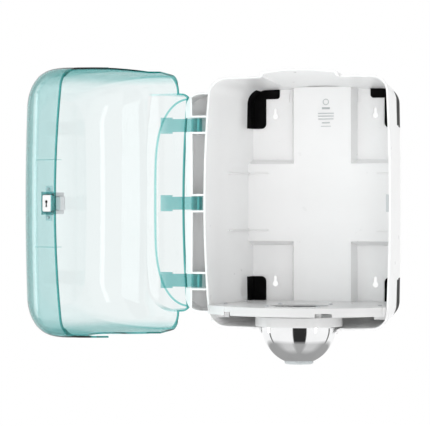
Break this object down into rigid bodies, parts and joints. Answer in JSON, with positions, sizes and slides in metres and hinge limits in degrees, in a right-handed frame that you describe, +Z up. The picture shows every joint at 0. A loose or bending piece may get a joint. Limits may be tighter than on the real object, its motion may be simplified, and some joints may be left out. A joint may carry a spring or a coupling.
{
  "type": "centre-feed paper dispenser",
  "caption": "Wall-hung centre-feed wiper dispenser: deep white casing with roll shelf and domed chrome outlet, and a clear turquoise side-hinged cover.",
  "frame": {"origin": "centre of the casing's flat back face, where it meets the wall", "axes": "+X to the viewer's right, +Y into the wall, +Z up; the dispenser's front faces -Y"},
  "size_m": [0.5135, 0.4422, 0.447],
  "materials": {
    "casing_white": "smooth white moulded plastic",
    "shelf_white": "smooth white moulded plastic",
    "cover_teal": "clear turquoise moulded plastic",
    "arm_teal": "clear turquoise moulded plastic",
    "pad_black": "soft black rubber",
    "dome_chrome": "bright chrome plate",
    "funnel_grey": "dark grey moulded plastic",
    "latch_grey": "light grey moulded plastic",
    "button_white": "white moulded plastic",
    "steel": "zinc-plated steel"
  },
  "bodies": {
    "housing": {"casing": "casing_white", "strike_plate": "latch_grey", "roll_shelf": "shelf_white", "shelf_screws": "steel", "collar_screws": "steel", "outlet_collar": "shelf_white", "hinge_pins": "casing_white", "corner_pad_top_left": "pad_black", "corner_pad_top_right": "pad_black", "corner_pad_bottom_left": "pad_black", "corner_pad_bottom_right": "pad_black"},
    "cover_assembly": {"cover": "cover_teal", "hinge_arm_top": "arm_teal", "hinge_arm_middle": "arm_teal", "hinge_arm_bottom": "arm_teal", "lock_bezel": "arm_teal", "latch_guide": "latch_grey", "latch_spring": "steel", "lock_screws": "steel"},
    "lock": {"lock_button": "button_white", "latch_tongue": "latch_grey"},
    "outlet": {"outlet_dome": "dome_chrome", "outlet_funnel": "funnel_grey", "tear_ring": "latch_grey"}
  },
  "joints": [
    {"name": "cover_hinge", "type": "hinge", "parent": "housing", "child": "cover_assembly", "pos_m": [-0.1615, -0.162, 0], "axis": [0, 0, 1], "range_deg": [0, 109.5]},
    {"name": "lock_push", "type": "slide", "parent": "cover_assembly", "child": "lock", "axis": [0.3338, 0.9426, 0], "range_m": [0, 0.003], "stiffness_N_per_m": 900, "springref_m": -0.001},
    {"name": "outlet_twist", "type": "hinge", "parent": "housing", "child": "outlet", "pos_m": [0, -0.171, -0.21], "axis": [0, 0, 1], "range_deg": [0, 30]}
  ]
}
